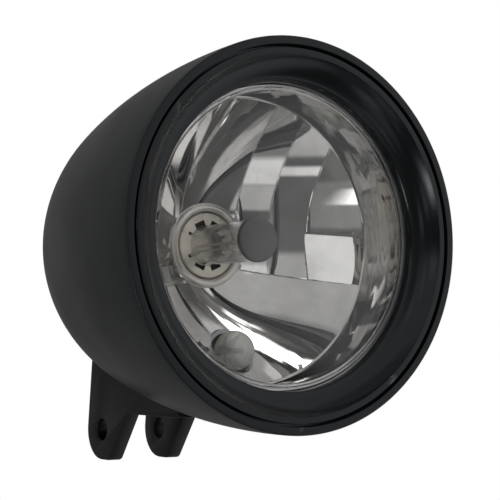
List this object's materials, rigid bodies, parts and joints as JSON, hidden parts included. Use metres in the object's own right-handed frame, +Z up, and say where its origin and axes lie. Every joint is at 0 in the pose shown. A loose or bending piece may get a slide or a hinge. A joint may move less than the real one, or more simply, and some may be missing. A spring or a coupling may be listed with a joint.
{
  "type": "motorcycle headlight",
  "caption": "Bullet-shaped motorcycle headlight with a dished trim ring, clear glass, faceted reflector with main and pilot bulbs, and a forked ear mount underneath.",
  "frame": {"origin": "middle of the pivot hole through the two ears of the mount fork", "axes": "+Z up, +X along the pivot hole, and the lamp shines towards -Y with its axis parallel to Y"},
  "size_m": [0.174, 0.1745, 0.192],
  "materials": {
    "shell_paint": "satin black coat on cast aluminium",
    "fork_paint": "satin black coat on milled aluminium",
    "ring_paint": "satin black coat on turned aluminium",
    "zinc_steel": "zinc plated",
    "black_steel": "blackened",
    "spring_steel": "bright spring wire",
    "lens_glass": "clear pressed glass",
    "mirror_coat": "vacuum metallised",
    "bulb_metal": "nickel plated",
    "bulb_glass": "clear drawn glass",
    "glare_paint": "dark grey heat-proof coat",
    "filament": "drawn tungsten",
    "contact_brass": "stamped brass",
    "insulator": "moulded plastic",
    "black_rubber": "moulded rubber",
    "sealant": "cured sealant"
  },
  "bodies": {
    "root": {"headlight_shell": "shell_paint", "mount_fork": "fork_paint", "trim_ring": "ring_paint", "fork_screws": "zinc_steel", "fork_washers": "zinc_steel", "trim_ring_screw": "black_steel", "lens": "lens_glass", "lens_gasket": "black_rubber", "lens_sealant": "sealant", "reflector": "mirror_coat", "retaining_ring": "spring_steel", "bulb_base": "bulb_metal", "bulb_glass": "bulb_glass", "bulb_glare_cap": "glare_paint", "bulb_dip_shield": "bulb_metal", "bulb_filaments": "filament", "bulb_support_wires": "filament", "bulb_insulator": "insulator", "bulb_contacts": "contact_brass", "bulb_spring_clip": "spring_steel", "dust_boot": "black_rubber", "pilot_grommet": "black_rubber", "pilot_holder": "insulator", "pilot_bulb": "bulb_glass", "pilot_filament": "filament", "cable_grommet": "black_rubber"}
  },
  "joints": []
}
